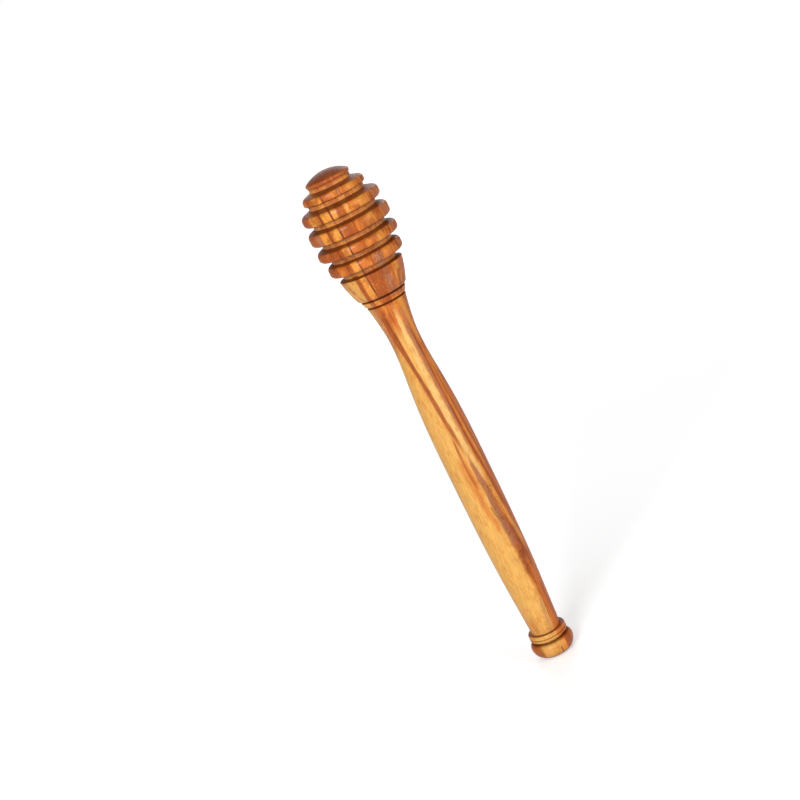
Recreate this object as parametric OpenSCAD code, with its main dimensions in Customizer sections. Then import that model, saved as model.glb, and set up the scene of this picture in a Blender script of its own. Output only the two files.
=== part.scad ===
// Honey dipper, turned in wood: a grooved head glued onto the tenon of a long handle.
// The lathe axis is +Z and the origin is the centre of the knob's flat end, so the head is uppermost.
// Every outline is half of a section: points of [radius, height, rounding], from the axis outwards.

/* [Knob] */
// Diameter of the knob at its widest
knob_d = 13.3; // [11:0.1:16]
// Height of the knob, from its flat end to the groove above it
knob_h = 5.5; // [4.5:0.1:8]
// Height of the knob's widest line above its end
knob_belly_z = 3.7; // [2.8:0.1:4.2]
// Diameter of the flat on the knob's end
end_flat_d = 6; // [3:0.1:8]

/* [Collar] */
// Diameter of the collar bead above the knob
collar_d = 11.75; // [10.2:0.05:14]
// Height of the collar bead
collar_h = 2.35; // [1.8:0.05:4]
// Width of the groove between the knob and the collar
collar_groove_w = 0.5; // [0.3:0.05:1.5]
// Diameter at the bottom of that groove
collar_groove_d = 9.8; // [8.6:0.1:10]
// Height of the incised line above the collar's lower edge
line_z = 0.95; // [0.7:0.05:1.1]
// Depth of the incised line
line_depth = 0.25; // [0.1:0.05:0.4]

/* [Grip] */
// Height of the head's seat above the knob's end, which is the length of the handle without its tenon
seat_z = 121.3; // [110:0.1:140]
// Diameter of the grip where it meets the collar
wrist_d = 9.2; // [8:0.1:10]
// Diameter of the grip at its thickest
belly_d = 12.3; // [10.5:0.1:16]
// Height of the thickest place
belly_z = 67.2; // [60:0.1:75]
// Diameter of the grip at its thinnest, below the neck
waist_d = 8.8; // [8:0.1:10.4]
// Height of the thinnest place
waist_z = 106.5; // [100:0.1:108]

/* [Neck] */
// Diameter of the grip just below the lower V-cut
neck_d = 11.95; // [11:0.05:12.4]
// Diameter of the neck band at its upper edge
band_top_d = 13.7; // [13:0.05:14.2]
// Diameter of the neck band at its lower edge
band_foot_d = 12.5; // [12:0.05:12.9]
// Height of the neck band between its two V-cuts
band_h = 1.5; // [1.2:0.05:2]
// Width of each V-cut
vee_w = 0.7; // [0.4:0.05:0.9]
// Depth of each V-cut
vee_depth = 0.8; // [0.4:0.05:1]

/* [Tenon] */
// Diameter of the tenon
tenon_d = 6; // [4:0.1:7]
// Length of the tenon
tenon_l = 13; // [8:0.5:18]
// Bevel on the tenon's end
tenon_bevel = 0.6; // [0.2:0.1:1]
// Gap for glue all round the tenon
glue_gap = 0.05; // [0.02:0.01:0.15]
// Space left for spare glue beyond the tenon's end
glue_space = 1; // [0.5:0.1:3]

/* [Bell] */
// Diameter of the bell at its foot, above the V-cut
bell_foot_d = 15.2; // [14.4:0.1:16]
// Diameter of the bell at its rim
bell_rim_d = 19.3; // [17:0.1:22]
// Height of the bell
bell_h = 8.3; // [7:0.1:12]
// How far the bell's side swells past a straight taper
bell_swell = 0.3; // [0:0.05:0.8]

/* [Rings] */
// Diameter of the first ring above the bell
ring_1_d = 22.4; // [21:0.1:26]
// Diameter of the second ring
ring_2_d = 24.3; // [21:0.1:28]
// Diameter of the third ring
ring_3_d = 24.3; // [21:0.1:28]
// Diameter of the fourth ring
ring_4_d = 23.4; // [21:0.1:28]
// Diameter of the fifth ring, below the cap
ring_5_d = 18.6; // [17.8:0.1:24]
// Height of the first ring
ring_1_h = 4.0; // [3.2:0.1:6]
// Height of the second ring
ring_2_h = 3.8; // [3.2:0.1:6]
// Height of the third ring
ring_3_h = 4.6; // [3.2:0.1:6]
// Height of the fourth ring
ring_4_h = 4.2; // [3.2:0.1:6]
// Height of the fifth ring
ring_5_h = 3.1; // [3:0.1:6]
// Rounding of each ring's upper edge
ring_upper_r = 1.4; // [0.5:0.05:2]
// Rounding of each ring's lower edge
ring_lower_r = 1; // [0.3:0.05:1.5]
// Slope of each ring's upper side, as a fall over a run of 1
ring_upper_slope = 0.35; // [0:0.05:0.4]
// Slope of each ring's lower side, as a rise over a run of 1
ring_lower_slope = 0.13; // [0:0.01:0.2]

/* [Grooves] */
// Width of each groove at its floor
groove_w = 1.2; // [0.8:0.05:2.5]
// Diameter of the groove floor between the bell and the first ring
groove_1_d = 16.2; // [13:0.1:17]
// Diameter of the groove floor above the first ring
groove_2_d = 18.4; // [15:0.1:19.4]
// Diameter of the groove floor above the second ring
groove_3_d = 19.2; // [15:0.1:20]
// Diameter of the groove floor above the third ring
groove_4_d = 19; // [15:0.1:20]
// Diameter of the groove floor above the fourth ring
groove_5_d = 16.8; // [13:0.1:17.2]
// Diameter of the groove floor below the cap
groove_6_d = 12.4; // [10:0.1:12.8]
// Rounding where a groove's floor meets its sides
groove_fillet = 0.2; // [0.05:0.05:0.3]

/* [Cap] */
// Diameter of the cap at its rim
cap_d = 13.4; // [13:0.1:18]
// Height of the cap's side, from the groove to the rim
cap_side_h = 0.9; // [0.6:0.1:3]
// Height of the cap's dome above its rim
cap_dome_h = 2.2; // [1:0.1:5]
// How far the cap's side draws in below the rim
cap_undercut = 0.3; // [0:0.05:0.4]
// Rounding of the cap's rim
cap_rim_r = 0.6; // [0.2:0.05:0.8]

/* [Hidden] */

$fn = 128;
arc_steps = 8;
curve_steps = 28;

wood_dark = [0.70, 0.38, 0.12];
wood_light = [0.86, 0.60, 0.26];

bell_rim_r = 0.5;
edge_break = 0.15;
collar_upper_r = 0.6;
collar_lower_r = 0.9;
line_w = 0.35;

// How long each end of a grip curve holds its direction, as a share of that stretch
neck_hold = 0.39;
above_waist_hold = 0.23;
below_waist_hold = 0.30;
belly_hold = 0.64;
wrist_hold = 0.38;
neck_flare = 0.21;
wrist_flare = 0.052;

collar_z = knob_h + collar_groove_w;
wrist_z = collar_z + collar_h;
band_top_z = seat_z - vee_w / 2;
band_foot_z = band_top_z - band_h;
neck_z = band_foot_z - vee_w;
seat_d = band_top_d - 2 * vee_depth;

ring_d = [ring_1_d, ring_2_d, ring_3_d, ring_4_d, ring_5_d];
ring_h = [ring_1_h, ring_2_h, ring_3_h, ring_4_h, ring_5_h];
groove_d = [groove_1_d, groove_2_d, groove_3_d, groove_4_d, groove_5_d, groove_6_d];
bell_rim_z = seat_z + bell_h;
cap_z = ring_foot_z(len(ring_h));

bore_d = tenon_d + 2 * glue_gap;
bore_l = tenon_l + glue_space;

// Height at which ring i starts, counted from 0 at the bell
function ring_foot_z(i) = i == 0
    ? bell_rim_z + groove_w
    : ring_foot_z(i - 1) + ring_h[i - 1] + groove_w;

function flat(p) = [p[0], p[1]];
function unit(v) = v / norm(v);
function turn(a, b) = atan2(a[0] * b[1] - a[1] * b[0], a * b);

// Arc that rounds corner p between its neighbours a and b, never wider than half of either side
function round_corner(a, p, b) =
    let (
        u = flat(a) - flat(p),
        v = flat(b) - flat(p),
        half_angle = abs(turn(u, v)) / 2,
        reach = min(p[2] / tan(half_angle), norm(u) / 2, norm(v) / 2),
        r = reach * tan(half_angle),
        centre = flat(p) + unit(unit(u) + unit(v)) * r / sin(half_angle),
        first = flat(p) + unit(u) * reach - centre,
        last = flat(p) + unit(v) * reach - centre,
        start = atan2(first[1], first[0]),
        sweep = turn(first, last)
    )
    [for (k = [0:arc_steps]) centre + r * [cos(start + sweep * k / arc_steps),
                                           sin(start + sweep * k / arc_steps)]];

// Outline with every corner that has a rounding turned into an arc
function rounded(points) = [
    for (i = [0:len(points) - 1])
        each points[i][2] == 0
            ? [flat(points[i])]
            : round_corner(points[i - 1], points[i], points[i + 1])
];

// Smooth curve from a to b, which leaves a towards a_pull and reaches b from b_pull
function smooth(a, a_pull, b_pull, b) = [
    for (k = [0:curve_steps])
        let (t = k / curve_steps, s = 1 - t)
        each [concat(s * s * s * a + 3 * s * s * t * a_pull + 3 * s * t * t * b_pull + t * t * t * b, 0)]
];

// Arc of an ellipse round centre, with its half axes, from one angle to another
function ellipse_arc(centre, rx, ry, from, to) = [
    for (k = [0:curve_steps])
        let (a = from + (to - from) * k / curve_steps)
        [centre[0] + rx * cos(a), centre[1] + ry * sin(a), 0]
];

// Ring i, from its lower side to its upper side, with the groove floor above it
function ring_outline(i) =
    let (
        r = ring_d[i] / 2,
        foot_r = groove_d[i] / 2,
        head_r = groove_d[i + 1] / 2,
        foot_z = ring_foot_z(i),
        head_z = foot_z + ring_h[i]
    )
    [
        [foot_r, foot_z, groove_fillet],
        [r, foot_z + ring_lower_slope * (r - foot_r), ring_lower_r],
        [r, head_z - ring_upper_slope * (r - head_r), ring_upper_r],
        [head_r, head_z, groove_fillet]
    ];

// The bell's side as a shallow curve from its foot to its rim
function bell_side() =
    let (
        foot = [bell_foot_d / 2, seat_z + vee_w],
        rim = [bell_rim_d / 2, bell_rim_z - ring_upper_slope * (bell_rim_d - groove_1_d) / 2],
        swell = (foot + rim) / 2 + [bell_swell, 0] * 4 / 3
    )
    smooth(foot, (foot + 2 * swell) / 3, (rim + 2 * swell) / 3, rim);

// The cap's side and its dome, from the groove to the axis
function cap_outline() =
    let (
        r = cap_d / 2,
        rim_z = cap_z + cap_side_h,
        dome_r = (r * r + cap_dome_h * cap_dome_h) / (2 * cap_dome_h),
        dome_angle = asin(r / dome_r)
    )
    concat(
        [[groove_6_d / 2, cap_z, groove_fillet],
         [r - cap_undercut, cap_z, edge_break],
         [r, rim_z, cap_rim_r]],
        [for (k = [1:arc_steps]) let (a = dome_angle * (1 - k / arc_steps))
            [dome_r * sin(a), rim_z + cap_dome_h - dome_r * (1 - cos(a)), 0]]
    );

// Outside of the head, from the axis at its foot to the axis at its tip
function head_outline() =
    let (side = bell_side(), last = len(side) - 1)
    concat(
        [[0, seat_z, 0], [seat_d / 2, seat_z, 0]],
        [[side[0][0] - vee_w / 2, seat_z + vee_w / 2, 0]],
        [for (k = [0:last - 1]) side[k]],
        [[side[last][0], side[last][1], bell_rim_r]],
        [[groove_1_d / 2, bell_rim_z, groove_fillet]],
        [for (i = [0:len(ring_d) - 1]) each ring_outline(i)],
        cap_outline()
    );

// Knob: a flat end, a full underside, the widest line and a shorter upper side
function knob_outline() =
    let (
        r = knob_d / 2,
        flat_r = end_flat_d / 2,
        groove_r = collar_groove_d / 2
    )
    concat(
        [[0, 0, 0], [flat_r, 0, 0]],
        ellipse_arc([flat_r, knob_belly_z], r - flat_r, knob_belly_z, -90, 0),
        ellipse_arc([groove_r, knob_belly_z], r - groove_r, knob_h - knob_belly_z, 0, 90)
    );

// Collar bead with its incised line
function collar_outline() =
    let (r = collar_d / 2, z = collar_z)
    [
        [collar_groove_d / 2, z, 0],
        [r, z, collar_lower_r],
        [r, z + line_z - line_w / 2, 0],
        [r - line_depth, z + line_z, 0],
        [r, z + line_z + line_w / 2, 0],
        [r, z + collar_h, collar_upper_r],
        [wrist_d / 2, z + collar_h, 0]
    ];

// Grip, from the collar past the belly and the waist to the neck
function grip_outline() =
    let (
        wrist = [wrist_d / 2, wrist_z],
        belly = [belly_d / 2, belly_z],
        waist = [waist_d / 2, waist_z],
        neck = [neck_d / 2, neck_z],
        low = belly_z - wrist_z,
        mid = waist_z - belly_z,
        high = neck_z - waist_z
    )
    concat(
        smooth(wrist, wrist + wrist_hold * low * [wrist_flare, 1], belly - [0, belly_hold * low], belly),
        smooth(belly, belly + [0, belly_hold * mid], waist - [0, below_waist_hold * mid], waist),
        smooth(waist, waist + [0, above_waist_hold * high], neck - neck_hold * high * [neck_flare, 1], neck)
    );

// Neck band between its V-cuts, up to the seat of the head
function band_outline() = [
    [(neck_d + band_foot_d) / 4 - vee_depth, (neck_z + band_foot_z) / 2, 0],
    [band_foot_d / 2, band_foot_z, edge_break],
    [band_top_d / 2, band_top_z, edge_break],
    [seat_d / 2, seat_z, 0]
];

// Tenon, from the head's seat to its bevelled end
function tenon_outline() = [
    [tenon_d / 2, seat_z, 0],
    [tenon_d / 2, seat_z + tenon_l - tenon_bevel, 0],
    [tenon_d / 2 - tenon_bevel, seat_z + tenon_l, 0],
    [0, seat_z + tenon_l, 0]
];

module dipper_head() {
    color(wood_dark)
        difference() {
            rotate_extrude() polygon(rounded(head_outline()));
            translate([0, 0, seat_z - 1]) cylinder(d = bore_d, h = bore_l + 1);
        }
}

module handle() {
    color(wood_light)
        rotate_extrude()
            polygon(rounded(concat(
                knob_outline(), collar_outline(), grip_outline(), band_outline(), tenon_outline()
            )));
}

dipper_head();
handle();
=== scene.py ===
import bpy
import math
from mathutils import Matrix, Vector

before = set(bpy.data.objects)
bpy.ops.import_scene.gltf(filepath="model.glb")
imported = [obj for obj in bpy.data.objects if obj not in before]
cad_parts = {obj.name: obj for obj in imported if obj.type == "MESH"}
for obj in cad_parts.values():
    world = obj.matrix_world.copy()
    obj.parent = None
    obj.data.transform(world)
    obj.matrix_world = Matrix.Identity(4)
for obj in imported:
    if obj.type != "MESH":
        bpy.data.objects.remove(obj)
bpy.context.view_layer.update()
print("frame loaded:", ", ".join(sorted(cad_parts)))

mm = 0.001


# Node helpers. A value is a number, a colour as a tuple, or the output socket of another node.
def feed(tree, socket, value):
    if isinstance(value, (int, float)):
        socket.default_value = value
    elif isinstance(value, tuple):
        socket.default_value = (*value, 1)
    else:
        tree.links.new(value, socket)


def mathNode(tree, operation, *values):
    node = tree.nodes.new("ShaderNodeMath")
    node.operation = operation
    for socket, value in zip(node.inputs, values):
        feed(tree, socket, value)
    return node.outputs[0]


def plus(tree, first, second):
    return mathNode(tree, "ADD", first, second)


def minus(tree, first, second):
    return mathNode(tree, "SUBTRACT", first, second)


def times(tree, first, second):
    return mathNode(tree, "MULTIPLY", first, second)


def larger(tree, first, second):
    return mathNode(tree, "MAXIMUM", first, second)


# Goes smoothly from start to end while the value goes from low to high
def smoothStep(tree, value, low, high, start=0.0, end=1.0):
    node = tree.nodes.new("ShaderNodeMapRange")
    node.interpolation_type = "SMOOTHSTEP"
    settings = {"Value": value, "From Min": low, "From Max": high, "To Min": start, "To Max": end}
    for label, setting in settings.items():
        feed(tree, node.inputs[label], setting)
    return node.outputs["Result"]


def splitXyz(tree, place):
    node = tree.nodes.new("ShaderNodeSeparateXYZ")
    feed(tree, node.inputs[0], place)
    return node.outputs


def grey(tree, value):
    node = tree.nodes.new("ShaderNodeCombineColor")
    for socket in node.inputs:
        feed(tree, socket, value)
    return node.outputs[0]


def mixColour(tree, amount, first, second, blend="MIX"):
    node = tree.nodes.new("ShaderNodeMix")
    node.data_type = "RGBA"
    node.blend_type = blend
    factor, firstColour, secondColour = node.inputs[0], node.inputs[6], node.inputs[7]
    feed(tree, factor, amount)
    feed(tree, firstColour, first)
    feed(tree, secondColour, second)
    return node.outputs[2]


# The two kinds of socket that the groups use
number = "NodeSocketFloat"
vector = "NodeSocketVector"


def newGroup(name, inputs, outputs):
    group = bpy.data.node_groups.new(name, "ShaderNodeTree")
    for label, kind in inputs.items():
        group.interface.new_socket(name=label, in_out="INPUT", socket_type=kind)
    for label, kind in outputs.items():
        group.interface.new_socket(name=label, in_out="OUTPUT", socket_type=kind)
    given = group.nodes.new("NodeGroupInput").outputs
    result = group.nodes.new("NodeGroupOutput").inputs
    return group, given, result


def useGroup(tree, group, values):
    node = tree.nodes.new("ShaderNodeGroup")
    node.node_tree = group
    for label, value in values.items():
        feed(tree, node.inputs[label], value)
    return node.outputs


# Noise patterns of the wood: repeats per millimetre along x, y and z, detail, roughness, distortion
patterns = {
    "drift": ((0.05, 0.12, 0.018), 2.0, 0.55, 0.0),
    "wobble": ((0.5, 0.5, 0.06), 3.0, 0.55, 0.0),
    "sway": ((0.35, 0.15, 0.11), 4.0, 0.6, 0.0),
    "fibres": ((5.0, 5.0, 0.22), 4.0, 0.6, 0.0),
    "vessels": ((9.0, 9.0, 0.55), 2.0, 0.5, 0.0),
    "layers": ((1.15, 0.30, 0.028), 3.0, 0.5, 0.6),
    "patches": ((0.5, 0.3, 0.16), 3.0, 0.55, 0.0),
    "brokenLines": ((2.6, 1.6, 0.75), 4.0, 0.7, 0.8),
    "mottle": ((0.42, 0.42, 0.20), 3.0, 0.6, 0.0),
    "cloud": ((0.55, 0.55, 0.30), 3.0, 0.65, 0.0),
    "stain": ((0.36, 0.36, 0.30), 3.0, 0.5, 0.0),
}

# How a pattern turns into a mark: none at the first value, all of it at the second, and its amount
marks = {
    "vessels": (0.60, 0.72, 1.0),
    "paleLayers": (0.42, 0.64, 0.40),
    "darkLayers": (0.46, 0.34, 0.55),
    "mottle": (0.48, 0.62, 0.55),
    "patches": (0.40, 0.56, 1.0),
    "darkLines": (0.50, 0.60, 1.0),
    "paleLines": (0.44, 0.36, 1.0),
    "cloud": (0.48, 0.70, 0.42),
    "stain": (0.50, 0.62, 0.62),
}


def noise(tree, place, name):
    stretch, detail, roughness, distortion = patterns[name]
    mapping = tree.nodes.new("ShaderNodeMapping")
    mapping.inputs["Scale"].default_value = stretch
    feed(tree, mapping.inputs["Vector"], place)
    texture = tree.nodes.new("ShaderNodeTexNoise")
    settings = {"Vector": mapping.outputs[0], "Scale": 1.0, "Detail": detail,
                "Roughness": roughness, "Distortion": distortion}
    for label, setting in settings.items():
        feed(tree, texture.inputs[label], setting)
    return texture.outputs[0]


def mark(tree, value, name):
    low, high, amount = marks[name]
    return smoothStep(tree, value, low, high, 0.0, amount)


# How the figure wanders: little in front, where it follows the photo, and freely at the back
bend = {
    "frontDepth": -5.0,
    "backDepth": 9.0,
    "driftFront": 0.6,
    "driftBack": 16.0,       # added to the drift in front
    "wobble": 0.7,
}


# Place in the wood in millimetres, true and bent, so that no layer is a true plane
def buildWoodPlace():
    group, given, result = newGroup("woodPlace", {"Position": vector},
                                    {"Place": vector, "True place": vector})
    scale = group.nodes.new("ShaderNodeVectorMath")
    scale.operation = "SCALE"
    scale.inputs["Scale"].default_value = 1 / mm
    feed(group, scale.inputs[0], given["Position"])
    truePlace = scale.outputs[0]
    x, y, z = splitXyz(group, truePlace)
    behind = smoothStep(group, y, bend["frontDepth"], bend["backDepth"])
    reach = mathNode(group, "MULTIPLY_ADD", behind, bend["driftBack"], bend["driftFront"])
    drift = times(group, minus(group, noise(group, truePlace, "drift"), 0.5), reach)
    wobble = minus(group, noise(group, truePlace, "wobble"), 0.5)
    shift = mathNode(group, "MULTIPLY_ADD", wobble, bend["wobble"], drift)
    join = group.nodes.new("ShaderNodeCombineXYZ")
    for socket, part in zip(join.inputs, (plus(group, x, shift), y, z)):
        feed(group, socket, part)
    feed(group, result["Place"], join.outputs[0])
    feed(group, result["True place"], truePlace)
    return group


# What describes a streak, after its colour. Heights and x are in millimetres, seen from the front,
# and a streak runs as a curve through its upper, middle and lower x.
streakInputs = ("Strength", "Upper end", "Lower end", "Upper x", "Middle x", "Lower x",
                "Upper half width", "Lower half width", "Softness", "Wander")

# Where a streak fades in and out, as shares of its length
streakFade = {"upper": (-0.03, 0.10), "lower": (0.86, 1.03)}


# One streak along the grain, as a mask
def buildStreak():
    inputs = {"Place": vector, **{label: number for label in streakInputs}}
    group, given, result = newGroup("grainStreak", inputs, {"Mask": number})
    x, y, z = splitXyz(group, given["Place"])
    length = minus(group, given["Upper end"], given["Lower end"])
    along = mathNode(group, "DIVIDE", minus(group, given["Upper end"], z), length)
    down = larger(group, mathNode(group, "MINIMUM", along, 1.0), 0.0)
    left = minus(group, 1.0, down)

    # A quadratic curve, whose control point makes it pass through the middle x
    ends = plus(group, given["Upper x"], given["Lower x"])
    control = mathNode(group, "MULTIPLY_ADD", ends, -0.5, times(group, given["Middle x"], 2.0))
    first = times(group, times(group, left, left), given["Upper x"])
    second = times(group, times(group, left, down), control)
    third = times(group, times(group, down, down), given["Lower x"])
    centre = plus(group, mathNode(group, "MULTIPLY_ADD", second, 2.0, first), third)

    sway = times(group, minus(group, noise(group, given["Place"], "sway"), 0.5), given["Wander"])
    offset = mathNode(group, "MULTIPLY_ADD", sway, 2.0, minus(group, x, centre))
    halfWidth = mathNode(group, "MULTIPLY_ADD", given["Lower half width"], down,
                         times(group, given["Upper half width"], left))
    ratio = mathNode(group, "DIVIDE", mathNode(group, "ABSOLUTE", offset), halfWidth)
    across = smoothStep(group, ratio, minus(group, 1.0, given["Softness"]),
                        plus(group, 1.0, given["Softness"]), 1.0, 0.0)
    upper = smoothStep(group, along, *streakFade["upper"])
    lower = smoothStep(group, along, *streakFade["lower"], 1.0, 0.0)
    mask = times(group, across, times(group, upper, lower))
    feed(group, result["Mask"], times(group, mask, given["Strength"]))
    return group


# Fine grain: fibres along the axis, short dark vessels, soft growth layers
def buildFineGrain():
    group, given, result = newGroup("fineGrain", {"Place": vector},
                                    {"Fibres": number, "Vessels": number, "Layers": number})
    vessels = mark(group, noise(group, given["Place"], "vessels"), "vessels")
    feed(group, result["Fibres"], noise(group, given["Place"], "fibres"))
    feed(group, result["Vessels"], vessels)
    feed(group, result["Layers"], noise(group, given["Place"], "layers"))
    return group


# How a patch of broken figure ends: across its half width, and over a height in millimetres
patchEdge = {"solid": 0.5, "gone": 1.15, "height": 4.0}


# A patch of short broken lines, dark and pale, drawn out along the grain
def buildBrokenFigure():
    inputs = {"Place": vector, "Upper end": number, "Lower end": number, "X": number,
              "Half width": number}
    group, given, result = newGroup("brokenFigure", inputs, {"Dark": number, "Pale": number})
    x, y, z = splitXyz(group, given["Place"])
    offset = mathNode(group, "ABSOLUTE", minus(group, x, given["X"]))
    ratio = mathNode(group, "DIVIDE", offset, given["Half width"])
    across = smoothStep(group, ratio, patchEdge["solid"], patchEdge["gone"], 1.0, 0.0)
    lower = smoothStep(group, z, given["Lower end"],
                       plus(group, given["Lower end"], patchEdge["height"]))
    upper = smoothStep(group, z, minus(group, given["Upper end"], patchEdge["height"]),
                       given["Upper end"], 1.0, 0.0)
    patches = mark(group, noise(group, given["Place"], "patches"), "patches")
    within = times(group, times(group, across, lower), times(group, upper, patches))
    lines = noise(group, given["Place"], "brokenLines")
    feed(group, result["Dark"], times(group, mark(group, lines, "darkLines"), within))
    feed(group, result["Pale"], times(group, mark(group, lines, "paleLines"), within))
    return group


woodPlace = buildWoodPlace()
grainStreak = buildStreak()
fineGrain = buildFineGrain()
brokenFigure = buildBrokenFigure()
print("node groups built")

# Olive wood under a clear varnish. Colours are linear, and heights are in millimetres.
wood = {
    "tan": (0.83, 0.435, 0.10),       # pale wood of the grip
    "pale": (0.90, 0.54, 0.18),       # lightest wood, mid grip
    "honey": (0.82, 0.325, 0.05),     # yellow stripes in the head
    "orange": (0.63, 0.155, 0.018),   # body of the wood
    "brown": (0.36, 0.070, 0.008),    # figure lines
    "dark": (0.14, 0.025, 0.002),     # thin dark lines, and the darkening of faces across the grain, part end grain and part painted shade
    "greyAndSheen": (0.42, 0.17, 0.085),     # greyed patches, and painted sheen at the margins of the rings
    "groove": (0.80, 0.32, 0.085),    # painted light on the floors of the grooves
    "crack": (0.80, 0.62, 0.48),
    "grooveLightAmount": 0.48,
    "vesselAmount": 0.42,
    "darkLineAmount": 0.75,
    "paleLineAmount": 0.5,
    "endGrainAndShadeAmount": 0.84,           # how far faces across the grain darken: end grain, and painted shade on the ring flanks in the grooves
    "endGrainAndShadeFrom": 0.60,             # upright part of the normal where that begins
    "endGrainAndShadeFull": 0.96,
    "stainFrom": 117,                 # height where the stains of the head begin
    "stainFull": 124,
    "fibreNoise": (0.30, 0.70),       # range of the fibre pattern, and how it shades the colour
    "fibreShade": (0.78, 1.12),
}

finish = {
    "roughness": 0.36,
    "fibreRoughness": 0.12,
    "endGrainRoughness": 0.10,
    "specular": 0.16,
    "varnish": 0.34,
    "varnishRoughness": 0.14,
    "openGrainVarnish": -0.34,        # open grain drinks the varnish
    "bumpStrength": 0.5,
    "bumpHeight": 0.035 * mm,
    "vesselDepth": -0.6,              # as shares of the height of the fibres
    "lineDepth": -1.5,
}

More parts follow.
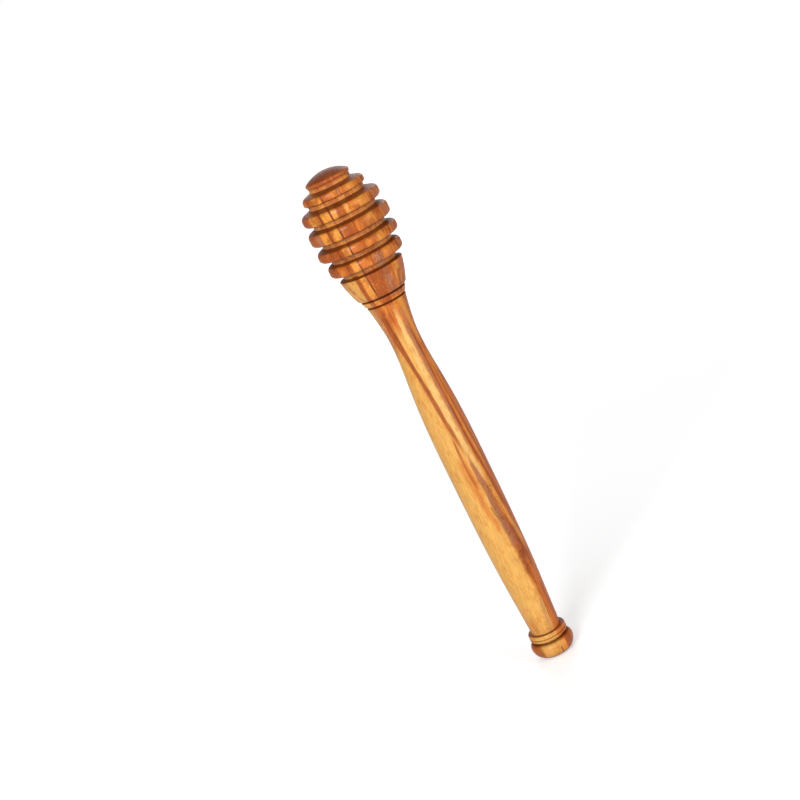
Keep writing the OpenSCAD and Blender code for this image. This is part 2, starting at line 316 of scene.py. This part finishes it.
# The streaks, painted one over another in this order: a colour of the wood, then the values of
# streakInputs
streaks = [
    # Pale wood of the grip, with the orange that crosses it
    ("tan", 0.95, 124, 4, -9.0, -6.2, -3.7, 4.2, 6.2, 0.30, 0.5),
    ("tan", 0.85, 106, 56, -3.5, -2.0, -1.7, 0.6, 1.3, 0.4, 0.3),
    ("tan", 0.85, 112, 60, -0.5, 0.3, 1.8, 1.8, 1.3, 0.5, 0.4),
    ("orange", 0.80, 116, 44, 3.9, 4.3, 6.0, 0.5, 0.8, 0.4, 0.3),
    ("honey", 0.50, 102, 60, 4.1, 4.2, 5.1, 0.35, 0.45, 0.5, 0.3),
    ("pale", 0.85, 118, 56, 1.0, 0.9, 2.6, 0.5, 1.25, 0.55, 0.3),
    ("tan", 0.90, 62, 5, 1.2, 0.4, 0.2, 0.8, 2.7, 0.35, 0.5),
    ("orange", 0.55, 69, 42, -1.3, -0.8, 1.0, 1.3, 0.7, 0.6, 0.8),
    ("honey", 0.90, 64, 36, 3.4, 4.0, 5.2, 0.6, 0.4, 0.4, 0.3),
    # Yellow stripes of the rings, the bell, the neck and the knob
    ("honey", 0.95, 160, 118, -6.3, -4.1, -2.3, 1.25, 0.75, 0.18, 0.2),
    ("honey", 0.95, 153, 139, -8.6, -8.0, -7.2, 1.2, 0.9, 0.2, 0.2),
    ("honey", 0.90, 152.4, 146, -2.6, -2.5, -2.4, 0.8, 0.6, 0.2, 0.15),
    ("honey", 0.90, 152.4, 145, 1.2, 1.2, 1.3, 0.9, 0.7, 0.2, 0.15),
    ("honey", 0.60, 158, 131, 4.9, 5.8, 6.9, 1.8, 1.4, 0.6, 0.6),
    ("honey", 0.60, 140.5, 134.5, 2.2, 2.15, 2.1, 0.55, 0.4, 0.3, 0.2),
    ("tan", 0.80, 130.5, 119, -7.4, -6.6, -5.6, 2.3, 1.7, 0.25, 0.3),
    ("honey", 0.70, 130, 121, 6.6, 6.2, 5.6, 0.9, 0.6, 0.5, 0.3),
    ("honey", 0.75, 120, 104, 3.6, 3.7, 3.7, 0.8, 0.5, 0.5, 0.2),
    ("tan", 0.75, 9.4, -2, -1.0, -1.0, -1.0, 3.8, 3.2, 0.3, 0.5),
    ("honey", 0.80, 5, -2, 3.0, 3.0, 3.0, 0.8, 0.8, 0.3, 0.3),
    # Brown figure of the cap, the rings and the bell
    ("brown", 0.65, 163, 155.6, 0.0, 0.0, 0.0, 8.0, 8.0, 0.3, 0.5),
    ("brown", 0.50, 163, 153, -3.6, -3.4, -3.2, 2.6, 1.6, 0.6, 0.8),
    ("brown", 0.90, 153, 117, -6.8, -5.5, -3.6, 0.32, 0.62, 0.3, 0.2),
    ("brown", 0.85, 140.4, 134.6, -7.1, -6.9, -6.7, 1.9, 1.6, 0.2, 0.3),
    ("brown", 0.80, 152.4, 140, -0.7, -0.9, -1.1, 0.95, 1.5, 0.25, 0.25),
    ("brown", 0.55, 146.5, 140, 4.0, 4.2, 4.4, 1.4, 1.2, 0.7, 0.5),
    ("brown", 0.50, 140, 134, 0.6, 0.6, 0.6, 1.6, 1.2, 0.6, 0.5),
    ("brown", 0.50, 156, 152, 6.6, 6.8, 7.0, 1.0, 1.0, 0.6, 0.5),
    ("brown", 0.85, 130.5, 118, 0.4, 0.2, 0.0, 1.9, 1.3, 0.25, 0.3),
    ("brown", 0.70, 135.5, 128, -9.2, -8.9, -8.4, 0.5, 0.4, 0.4, 0.2),
    ("brown", 0.80, 127, 119.5, 6.8, 5.9, 4.6, 0.5, 0.35, 0.6, 0.4),
    # Brown figure of the grip: the two long streaks, then the lines and the patch below them
    ("brown", 0.90, 119.5, 68, -3.35, -1.25, 0.9, 0.8, 0.42, 0.35, 0.3),
    ("brown", 0.85, 113, 42, 2.7, 3.35, 6.0, 0.30, 0.45, 0.4, 0.25),
    ("brown", 0.75, 97, 58, 3.75, 4.55, 5.6, 0.18, 0.3, 0.5, 0.25),
    ("brown", 0.35, 119, 102, 4.8, 4.5, 4.3, 0.6, 0.4, 0.6, 0.3),
    ("brown", 0.60, 75, 58, -0.4, -0.7, 0.1, 0.3, 0.3, 0.6, 0.5),
    ("brown", 0.75, 52, 47, 0.9, 1.2, 1.7, 0.2, 0.2, 0.5, 0.2),
    ("brown", 0.75, 70, 23, 1.1, 2.6, 3.9, 0.45, 1.3, 0.4, 0.7),
    ("brown", 0.85, 48, 25, 3.3, 3.6, 3.9, 0.5, 1.15, 0.4, 0.4),
    # Lower end of the grip, and the knob
    ("orange", 0.90, 34, 5, 4.3, 4.1, 3.1, 0.9, 1.2, 0.35, 0.4),
    ("brown", 0.70, 30, 11, 3.4, 3.1, 2.4, 0.18, 0.14, 0.5, 0.2),
    ("brown", 0.60, 24, 8, 4.5, 4.4, 4.4, 0.25, 0.25, 0.5, 0.2),
    ("brown", 0.80, 6.4, -1, -5.2, -5.0, -4.4, 1.3, 1.0, 0.5, 0.5),
    ("brown", 0.85, 6.4, -1, 5.2, 5.0, 4.6, 1.0, 0.9, 0.5, 0.5),
    ("brown", 0.75, 3.6, -1, 1.8, 1.7, 1.6, 0.3, 0.35, 0.4, 0.2),
    # Thin dark lines, first in the head, then in the grip
    ("dark", 0.92, 156, 119, -4.1, -2.75, -1.5, 0.24, 0.26, 0.35, 0.2),
    ("dark", 0.75, 153, 128, -6.95, -6.2, -5.7, 0.24, 0.2, 0.35, 0.2),
    ("dark", 0.80, 147, 139.6, 0.8, 0.9, 1.1, 0.2, 0.18, 0.35, 0.15),
    ("dark", 0.60, 156, 130, 8.5, 9.0, 9.6, 0.22, 0.18, 0.35, 0.2),
    ("dark", 0.45, 156, 130, 6.9, 7.4, 7.6, 0.14, 0.14, 0.5, 0.3),
    ("dark", 0.50, 120, 84, -3.0, -1.7, -0.4, 0.2, 0.12, 0.5, 0.2),
    ("dark", 0.50, 111, 100, 2.2, 2.5, 2.75, 0.22, 0.16, 0.5, 0.15),
    ("dark", 0.45, 104, 66, 2.75, 3.1, 3.95, 0.14, 0.14, 0.5, 0.2),
    ("dark", 0.45, 44, 28, 4.2, 4.5, 4.4, 0.3, 0.3, 0.8, 0.3),
    # Grey margins of the rings, which are a painted sheen, and brown margins, then the greyed
    # streaks from the head down
    ("greyAndSheen", 0.75, 147, 138, -9.6, -9.4, -9.2, 0.8, 0.6, 0.4, 0.3),
    ("greyAndSheen", 0.55, 153, 137, 9.9, 10.2, 10.6, 0.8, 0.6, 0.5, 0.3),
    ("brown", 0.70, 156, 130, -9.6, -11.2, -9.4, 0.7, 0.9, 0.5, 0.5),
    ("brown", 0.60, 156, 150, -8.0, -7.8, -7.6, 0.9, 0.6, 0.5, 0.5),
    ("greyAndSheen", 0.75, 135, 120, 3.3, 3.3, 3.0, 1.3, 1.0, 0.5, 0.5),
    ("greyAndSheen", 0.50, 120, 102, -4.3, -4.1, -3.6, 0.5, 0.4, 0.6, 0.3),
    ("greyAndSheen", 0.55, 116, 109, 2.6, 2.4, 2.2, 0.6, 0.25, 0.5, 0.2),
    ("greyAndSheen", 0.75, 112, 72, 2.0, 2.35, 2.9, 0.45, 0.35, 0.5, 0.3),
    ("greyAndSheen", 0.65, 66, 36, 1.5, 2.2, 2.6, 0.6, 0.8, 0.5, 0.8),
    ("greyAndSheen", 0.45, 20, 7, 2.4, 1.7, 1.1, 0.3, 0.7, 0.6, 0.4),
]

# Two patches of broken figure: one at the bell and the lowest rings, one in the grip
brokenPatches = [
    {"Upper end": 141, "Lower end": 119, "X": 3.3, "Half width": 1.9},
    {"Upper end": 62, "Lower end": 27, "X": 2.9, "Half width": 1.5},
]

# One fine pale crack down the front of the cap and the upper rings, with the values of streakInputs
crack = {
    "streak": (0.55, 158.5, 146.0, 1.05, 1.05, 1.35, 0.08, 0.08, 0.5, 0.25),
    "frontDepth": -2.0,      # it fades from here to the axis, so that the back has none
}

# The lands of the head lie on an egg-shaped envelope, and a groove floor lies well inside it
envelope = {
    "radius": 12.35,         # at the widest, in millimetres
    "height": 141.5,         # where that is
    "curve": 0.018,
    "lower": 129.9,          # the grooves lie between these heights
    "upper": 156.2,
    "edge": 0.1,
    "landDepth": 1.2,
    "floorDepth": 1.8,
}


def groundColour(tree, spot, grain):
    pale = mark(tree, grain["Layers"], "paleLayers")
    colour = mixColour(tree, pale, wood["orange"], wood["honey"])
    colour = mixColour(tree, mark(tree, grain["Layers"], "darkLayers"), colour, wood["brown"])
    mottle = mark(tree, noise(tree, spot["Place"], "mottle"), "mottle")
    return mixColour(tree, mottle, colour, wood["brown"])


def streakMask(tree, spot, values):
    settings = {"Place": spot["Place"], **dict(zip(streakInputs, values))}
    return useGroup(tree, grainStreak, settings)["Mask"]


def paintStreaks(tree, colour, spot):
    for tone, *values in streaks:
        colour = mixColour(tree, streakMask(tree, spot, values), colour, wood[tone])
    return colour


# Paints the broken figure, and also returns the mask of its dark lines
def paintBrokenPatches(tree, colour, spot):
    lines = 0.0
    for patch in brokenPatches:
        broken = useGroup(tree, brokenFigure, {"Place": spot["Place"], **patch})
        dark = times(tree, broken["Dark"], wood["darkLineAmount"])
        pale = times(tree, broken["Pale"], wood["paleLineAmount"])
        colour = mixColour(tree, dark, colour, wood["dark"])
        colour = mixColour(tree, pale, colour, wood["greyAndSheen"])
        lines = larger(tree, lines, broken["Dark"])
    return colour, lines


def paintCrack(tree, colour, spot):
    y = splitXyz(tree, spot["True place"])[1]
    inFront = smoothStep(tree, y, crack["frontDepth"], 0.0, 1.0, 0.0)
    mask = times(tree, streakMask(tree, spot, crack["streak"]), inFront)
    return mixColour(tree, mask, colour, wood["crack"])


# Groove floors are painted paler: painted light on the floors, against the shade inside the grooves
def paintGrooveLight(tree, colour, spot):
    x, y, z = splitXyz(tree, spot["True place"])
    radius = mathNode(tree, "SQRT", plus(tree, times(tree, x, x), times(tree, y, y)))
    rise = minus(tree, z, envelope["height"])
    land = mathNode(tree, "MULTIPLY_ADD", times(tree, rise, rise), -envelope["curve"],
                    envelope["radius"])
    depth = minus(tree, land, radius)
    inside = smoothStep(tree, depth, envelope["landDepth"], envelope["floorDepth"])
    above = smoothStep(tree, z, envelope["lower"] - envelope["edge"],
                       envelope["lower"] + envelope["edge"])
    below = smoothStep(tree, z, envelope["upper"] - envelope["edge"],
                       envelope["upper"] + envelope["edge"], 1.0, 0.0)
    mask = times(tree, times(tree, inside, above), below)
    return mixColour(tree, times(tree, mask, wood["grooveLightAmount"]), colour, wood["groove"])


# Soft clouding over the whole figure, and darker stains in the head
def paintClouds(tree, colour, spot):
    cloud = mark(tree, noise(tree, spot["Place"], "cloud"), "cloud")
    colour = mixColour(tree, cloud, colour, wood["orange"])
    z = splitXyz(tree, spot["True place"])[2]
    inHead = smoothStep(tree, z, wood["stainFrom"], wood["stainFull"])
    stain = mark(tree, noise(tree, spot["True place"], "stain"), "stain")
    return mixColour(tree, times(tree, stain, inHead), colour, wood["brown"])


def paintFibres(tree, colour, grain):
    shade = smoothStep(tree, grain["Fibres"], *wood["fibreNoise"], *wood["fibreShade"])
    colour = mixColour(tree, 1.0, colour, grey(tree, shade), "MULTIPLY")
    vessels = times(tree, grain["Vessels"], wood["vesselAmount"])
    return mixColour(tree, vessels, colour, wood["brown"])


def buildOliveWood():
    material = bpy.data.materials.new("oliveWood")
    material.use_nodes = True
    tree = material.node_tree
    shader = tree.nodes["Principled BSDF"]
    coords = tree.nodes.new("ShaderNodeTexCoord")
    spot = useGroup(tree, woodPlace, {"Position": coords.outputs["Object"]})
    grain = useGroup(tree, fineGrain, {"Place": spot["Place"]})

    colour = groundColour(tree, spot, grain)
    colour = paintStreaks(tree, colour, spot)
    colour, lines = paintBrokenPatches(tree, colour, spot)
    colour = paintCrack(tree, colour, spot)
    colour = paintGrooveLight(tree, colour, spot)
    colour = paintClouds(tree, colour, spot)
    colour = paintFibres(tree, colour, grain)

    # Faces across the grain are painted darker: partly end grain, partly painted shade on the ring
    # flanks that lie in the grooves
    upright = mathNode(tree, "ABSOLUTE", splitXyz(tree, coords.outputs["Normal"])[2])
    endGrainAndShade = smoothStep(tree, upright, wood["endGrainAndShadeFrom"], wood["endGrainAndShadeFull"])
    colour = mixColour(tree, times(tree, endGrainAndShade, wood["endGrainAndShadeAmount"]), colour, wood["dark"])
    feed(tree, shader.inputs["Base Color"], colour)

    rough = mathNode(tree, "MULTIPLY_ADD", grain["Fibres"], finish["fibreRoughness"],
                     finish["roughness"])
    rough = mathNode(tree, "MULTIPLY_ADD", endGrainAndShade, finish["endGrainRoughness"], rough)
    openGrain = larger(tree, larger(tree, lines, grain["Vessels"]), endGrainAndShade)
    coat = mathNode(tree, "MULTIPLY_ADD", openGrain, finish["openGrainVarnish"], finish["varnish"])
    feed(tree, shader.inputs["Roughness"], rough)
    feed(tree, shader.inputs["Coat Weight"], coat)
    shader.inputs["Coat Roughness"].default_value = finish["varnishRoughness"]
    shader.inputs["Specular IOR Level"].default_value = finish["specular"]

    bump = tree.nodes.new("ShaderNodeBump")
    bump.inputs["Strength"].default_value = finish["bumpStrength"]
    bump.inputs["Distance"].default_value = finish["bumpHeight"]
    relief = mathNode(tree, "MULTIPLY_ADD", grain["Vessels"], finish["vesselDepth"],
                      grain["Fibres"])
    relief = mathNode(tree, "MULTIPLY_ADD", lines, finish["lineDepth"], relief)
    feed(tree, bump.inputs["Height"], relief)
    feed(tree, shader.inputs["Normal"], bump.outputs[0])
    return material


oliveWood = buildOliveWood()
for node in ("dipper_head", "handle"):
    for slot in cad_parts[node].material_slots:
        slot.material = oliveWood
print("olive wood on the head and the handle")

# A plain pale floor. The lift is whiteness added for the camera alone, so that the floor is white
# round the shadow near the dipper, and also far away, where the lamps fall off.
floorPlan = {
    "size": 4.0,
    "colour": (0.86, 0.86, 0.86),
    "roughness": 0.9,
    "lift": 0.38,
    "liftFar": 0.80,
    "nearRadius": 0.2,
    "farRadius": 1.3,
}


def buildFloor():
    half = floorPlan["size"] / 2
    mesh = bpy.data.meshes.new("studioFloor")
    corners = [(-half, -half, 0), (half, -half, 0), (half, half, 0), (-half, half, 0)]
    mesh.from_pydata(corners, [], [(0, 1, 2, 3)])
    floor = bpy.data.objects.new("studioFloor", mesh)
    bpy.context.scene.collection.objects.link(floor)
    material = bpy.data.materials.new("floorWhite")
    material.use_nodes = True
    tree = material.node_tree
    shader = tree.nodes["Principled BSDF"]
    shader.inputs["Base Color"].default_value = (*floorPlan["colour"], 1)
    shader.inputs["Roughness"].default_value = floorPlan["roughness"]
    shader.inputs["Specular IOR Level"].default_value = 0.0
    shader.inputs["Emission Strength"].default_value = 1.0
    coords = tree.nodes.new("ShaderNodeTexCoord")
    length = tree.nodes.new("ShaderNodeVectorMath")
    length.operation = "LENGTH"
    feed(tree, length.inputs[0], coords.outputs["Object"])
    lift = smoothStep(tree, length.outputs["Value"], floorPlan["nearRadius"],
                      floorPlan["farRadius"], floorPlan["lift"], floorPlan["liftFar"])
    path = tree.nodes.new("ShaderNodeLightPath")
    seen = times(tree, lift, path.outputs["Is Camera Ray"])
    feed(tree, shader.inputs["Emission Color"], grey(tree, seen))
    mesh.materials.append(material)


# Light from all round, below white, while the camera sees white
surround = {"colour": (1, 1, 1), "level": 0.28}


def buildSurround():
    world = bpy.data.worlds.new("studioSurround")
    bpy.context.scene.world = world
    world.use_nodes = True
    tree = world.node_tree
    background = tree.nodes["Background"]
    background.inputs["Color"].default_value = (*surround["colour"], 1)
    path = tree.nodes.new("ShaderNodeLightPath")
    level = mathNode(tree, "MULTIPLY_ADD", path.outputs["Is Camera Ray"], 1 - surround["level"],
                     surround["level"])
    feed(tree, background.inputs["Strength"], level)


# Softboxes, sizes and places in metres, all aimed at the middle of the dipper
lighting = {
    "aim": (0, 0, 0.09),
    "lamps": {
        "keySoftbox": {"place": (-0.34, -0.78, 0.46), "width": 0.34, "height": 0.60, "watts": 6.3},
        "fillSoftbox": {"place": (0.62, -0.62, 0.34), "width": 0.40, "height": 0.50, "watts": 2.4},
        "backSoftbox": {"place": (0.10, 0.85, 0.55), "width": 0.60, "height": 0.50, "watts": 3.0},
    },
}


def buildLamps():
    for name, plan in lighting["lamps"].items():
        data = bpy.data.lights.new(name, "AREA")
        data.shape = "RECTANGLE"
        data.size = plan["width"]
        data.size_y = plan["height"]
        data.energy = plan["watts"]
        lamp = bpy.data.objects.new(name, data)
        lamp.location = plan["place"]
        lamp.rotation_mode = "QUATERNION"
        toAim = Vector(lighting["aim"]) - Vector(plan["place"])
        lamp.rotation_quaternion = toAim.to_track_quat("-Z", "Y")
        bpy.context.scene.collection.objects.link(lamp)


# The camera that was fitted to the photo. It is rolled, so that the dipper, which stands upright in
# its own frame, leans across the picture as it does in the photo.
camera = {
    "distance": 465.7 * mm,
    "height": 207.0 * mm,
    "tilt": 14.0,            # degrees down
    "turn": 1.08,            # degrees to the side
    "roll": 25.96,
    "lens": 75.2,
    "sensor": 36.0,
    "near": 0.01,
    "far": 20.0,
}


def buildCamera():
    data = bpy.data.cameras.new("pictureCamera")
    data.lens = camera["lens"]
    data.sensor_width = camera["sensor"]
    data.clip_start = camera["near"]
    data.clip_end = camera["far"]
    holder = bpy.data.objects.new("pictureCamera", data)
    place = Matrix.Translation((0, -camera["distance"], camera["height"]))
    tilt = Matrix.Rotation(math.radians(90 - camera["tilt"]), 4, "X")
    turn = Matrix.Rotation(math.radians(camera["turn"]), 4, "Y")
    roll = Matrix.Rotation(math.radians(-camera["roll"]), 4, "Z")
    holder.matrix_world = place @ tilt @ turn @ roll
    bpy.context.scene.collection.objects.link(holder)
    bpy.context.scene.camera = holder


buildFloor()
buildSurround()
buildLamps()
buildCamera()
bpy.context.scene.view_settings.view_transform = "Standard"
print("studio ready")
